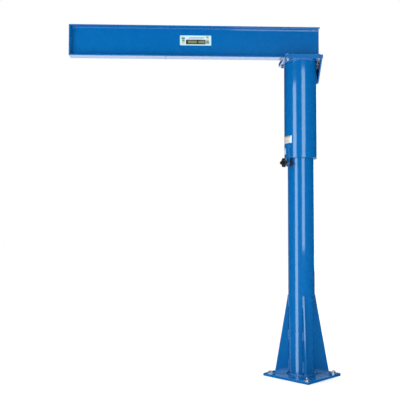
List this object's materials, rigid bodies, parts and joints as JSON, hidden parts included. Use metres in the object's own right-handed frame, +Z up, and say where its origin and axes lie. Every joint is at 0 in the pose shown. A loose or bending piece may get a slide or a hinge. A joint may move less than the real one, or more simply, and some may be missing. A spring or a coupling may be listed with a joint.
{
  "type": "floor-anchored jib crane",
  "caption": "Jib crane for lifting engines: a fixed mast on an anchored base plate, and an I-beam boom on a sleeve that turns on the mast and locks with a hand screw.",
  "frame": {"origin": "on the mast axis at the floor, under the base plate", "axes": "+Z up the mast, -X along the boom to its free end, +Y across the boom"},
  "size_m": [2.2667, 0.6434, 3.0563],
  "materials": {
    "blue_paint": "gloss",
    "mast_paint": "gloss",
    "zinc": "zinc plated",
    "turned_steel": "turned",
    "bearing_steel": "ground",
    "cage_brass": "machined",
    "bush_plastic": "matt",
    "pad_rubber": "matt",
    "knob_plastic": "satin",
    "label_film": "satin"
  },
  "bodies": {
    "mast": {"base_plate": "blue_paint", "gusset_right": "blue_paint", "gusset_back": "blue_paint", "gusset_left": "blue_paint", "gusset_front": "blue_paint", "anchor_studs": "zinc", "anchor_clips": "zinc", "anchor_washers": "zinc", "anchor_nuts": "zinc", "mast_tube": "mast_paint", "mast_cap": "turned_steel", "spindle": "turned_steel", "bearing_cone": "bearing_steel"},
    "boom": {"sleeve_tube": "blue_paint", "lower_bush": "bush_plastic", "bearing_housing": "turned_steel", "bearing_cup": "bearing_steel", "head_plate": "blue_paint", "saddle_plate": "blue_paint", "head_bolts": "zinc", "head_washers": "zinc", "head_nuts": "zinc", "rear_brace": "blue_paint", "boom_beam": "blue_paint", "boom_end_plate": "blue_paint", "lock_bar": "blue_paint", "lock_boss": "zinc", "boom_label": "label_film", "data_label": "label_film", "notice_label": "label_film"},
    "bearing_cage": {"bearing_cage": "cage_brass", "bearing_rollers": "bearing_steel"},
    "lock_pad": {"lock_pad": "pad_rubber"},
    "lock_screw": {"lock_screw": "zinc", "lock_jam_nut": "zinc", "lock_knob": "knob_plastic"}
  },
  "joints": [
    {"name": "boom_swing", "type": "hinge", "parent": "mast", "child": "boom", "pos_m": [0, 0, 2.62915], "axis": [0, 0, 1], "continuous": true},
    {"name": "cage_turn", "type": "hinge", "parent": "mast", "child": "bearing_cage", "pos_m": [0, 0, 2.62915], "axis": [0, 0, 1], "continuous": true},
    {"name": "lock_travel", "type": "slide", "parent": "boom", "child": "lock_pad", "axis": [0.848, 0.5299, 0], "range_m": [-0.008, 0.0037]},
    {"name": "lock_turn", "type": "hinge", "parent": "lock_pad", "child": "lock_screw", "pos_m": [-0.13569, -0.08479, 1.76815], "axis": [0.848, 0.5299, 0], "range_deg": [-1470, 680]}
  ],
  "couplings": [
    {"joint": "cage_turn", "follows": "boom_swing", "ratio": 0.5588},
    {"joint": "lock_travel", "follows": "lock_turn", "m_per_rad": 0.00031096}
  ]
}
